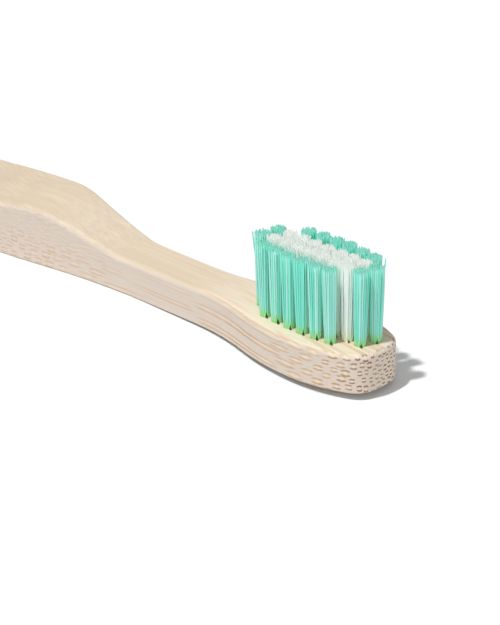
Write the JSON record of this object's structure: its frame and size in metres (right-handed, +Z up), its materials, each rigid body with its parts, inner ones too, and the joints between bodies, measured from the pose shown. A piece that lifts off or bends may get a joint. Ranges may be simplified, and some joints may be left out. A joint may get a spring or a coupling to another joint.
{
  "type": "manual toothbrush",
  "caption": "Manual toothbrush: carved bamboo handle with blunt head, slim neck and thumb hump, and green and white nylon tufts held in drilled holes by flat metal anchors.",
  "frame": {"origin": "midway between butt and tip, on the centre line, on the flat underside", "axes": "+X runs along the brush to the tip of the head, +Y to its left side, +Z up along the bristles"},
  "size_m": [0.19, 0.0134, 0.0158],
  "materials": {
    "bamboo": "sanded, unvarnished",
    "green_nylon": "translucent filament",
    "white_nylon": "translucent filament",
    "anchor_wire": "drawn flat wire"
  },
  "bodies": {
    "root": {"handle": "bamboo", "tuft_right_outer_1": "green_nylon", "tuft_right_outer_2": "green_nylon", "tuft_right_outer_3": "green_nylon", "tuft_right_outer_4": "green_nylon", "tuft_right_outer_5": "green_nylon", "tuft_right_outer_6": "green_nylon", "tuft_right_inner_1": "green_nylon", "tuft_right_inner_2": "white_nylon", "tuft_right_inner_3": "white_nylon", "tuft_right_inner_4": "white_nylon", "tuft_right_inner_5": "white_nylon", "tuft_right_inner_6": "white_nylon", "tuft_right_inner_7": "white_nylon", "tuft_right_inner_8": "white_nylon", "tuft_right_inner_9": "green_nylon", "tuft_left_outer_1": "green_nylon", "tuft_left_outer_2": "green_nylon", "tuft_left_outer_3": "green_nylon", "tuft_left_outer_4": "green_nylon", "tuft_left_outer_5": "green_nylon", "tuft_left_outer_6": "green_nylon", "tuft_left_inner_1": "green_nylon", "tuft_left_inner_2": "white_nylon", "tuft_left_inner_3": "white_nylon", "tuft_left_inner_4": "white_nylon", "tuft_left_inner_5": "white_nylon", "tuft_left_inner_6": "white_nylon", "tuft_left_inner_7": "white_nylon", "tuft_left_inner_8": "white_nylon", "tuft_left_inner_9": "green_nylon", "tuft_anchors": "anchor_wire"}
  },
  "joints": []
}
